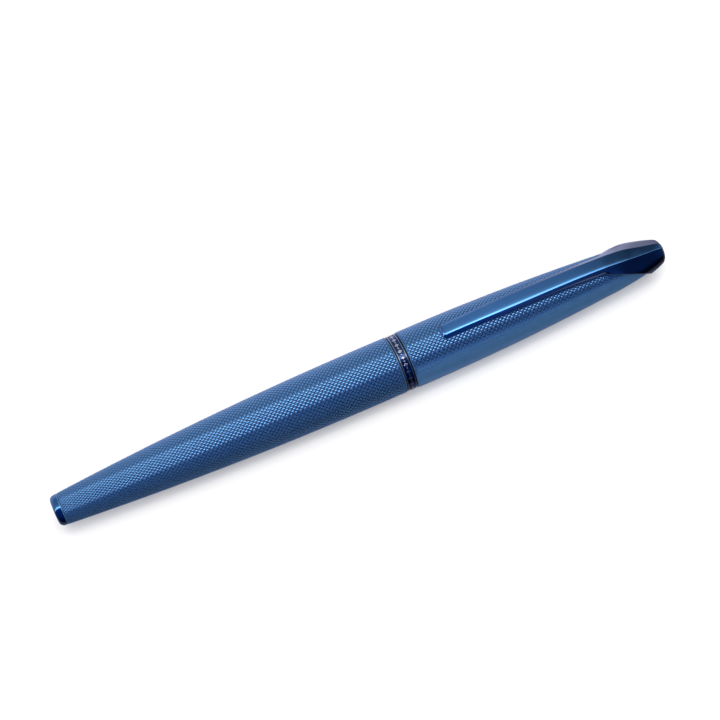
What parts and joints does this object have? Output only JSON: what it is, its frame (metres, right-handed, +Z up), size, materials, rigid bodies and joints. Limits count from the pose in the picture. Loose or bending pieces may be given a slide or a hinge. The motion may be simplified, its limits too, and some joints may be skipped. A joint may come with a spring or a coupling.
{
  "type": "rollerball pen",
  "caption": "Capped metal rollerball pen with a diamond-cut barrel and cap, a polished ribbon clip and a trim ring.",
  "frame": {"origin": "on the ground under the middle of the pen's length, where the pen lies on its belly", "axes": "+X along the pen towards the head of the cap, +Z up, where the clip points, +Y across"},
  "size_m": [0.14, 0.0126, 0.0139],
  "materials": {
    "blue_diamond_barrel": "satin blue coating over diamond-cut brass",
    "blue_diamond_cap": "satin blue coating over diamond-cut brass",
    "blue_polished": "glossy blue coating over polished metal",
    "ring_steel": null,
    "brass": "turned",
    "black_rubber": "matte",
    "spring_steel": "drawn wire",
    "steel": "turned",
    "section_metal": "satin dark coating",
    "black_plastic": "moulded",
    "clear_plastic": "moulded",
    "ink_fibre": "fibre soaked with ink",
    "carbide": "ground ball"
  },
  "bodies": {
    "barrel": {"barrel_tube": "blue_diamond_barrel", "tail_plug": "blue_polished", "thread_bush": "brass", "refill_spring": "spring_steel"},
    "trim_ring": {"centre_ring": "ring_steel", "shoulder_washer": "black_rubber"},
    "section": {"section_sleeve": "section_metal", "thread_o_ring": "black_rubber", "grip_tube": "section_metal", "front_ring": "steel", "nose_cone": "steel"},
    "refill": {"refill_tube": "steel", "refill_end_plug": "black_plastic", "ink_reservoir": "ink_fibre", "feed_rod": "ink_fibre", "refill_nose": "black_plastic", "refill_tip": "steel", "writing_ball": "carbide"},
    "cap": {"cap_tube": "blue_diamond_cap", "cap_clutch": "black_plastic", "cap_liner": "clear_plastic", "tip_seal": "black_rubber", "crown_insert": "brass", "hood_washer": "spring_steel", "hood_screw": "steel", "clip_hood": "blue_polished"}
  },
  "joints": [
    {"name": "section_advance", "type": "slide", "parent": "barrel", "child": "trim_ring", "axis": [1, 0, 0], "range_m": [0, 0.00376], "deforming": ["refill_spring"]},
    {"name": "section_turn", "type": "hinge", "parent": "trim_ring", "child": "section", "pos_m": [0.0076, 0, 0.00627], "axis": [1, 0, 0], "range_deg": [0, 1800]},
    {"name": "refill_press", "type": "slide", "parent": "section", "child": "refill", "axis": [-1, 0, 0], "range_m": [0, 0.0008], "stiffness_N_per_m": 400, "springref_m": -0.003},
    {"name": "cap_pull", "type": "slide", "parent": "section", "child": "cap", "axis": [1, 0, 0], "range_m": [0, 0.055]}
  ],
  "couplings": [
    {"joint": "section_advance", "follows": "section_turn", "m_per_rad": 0.00011937}
  ]
}
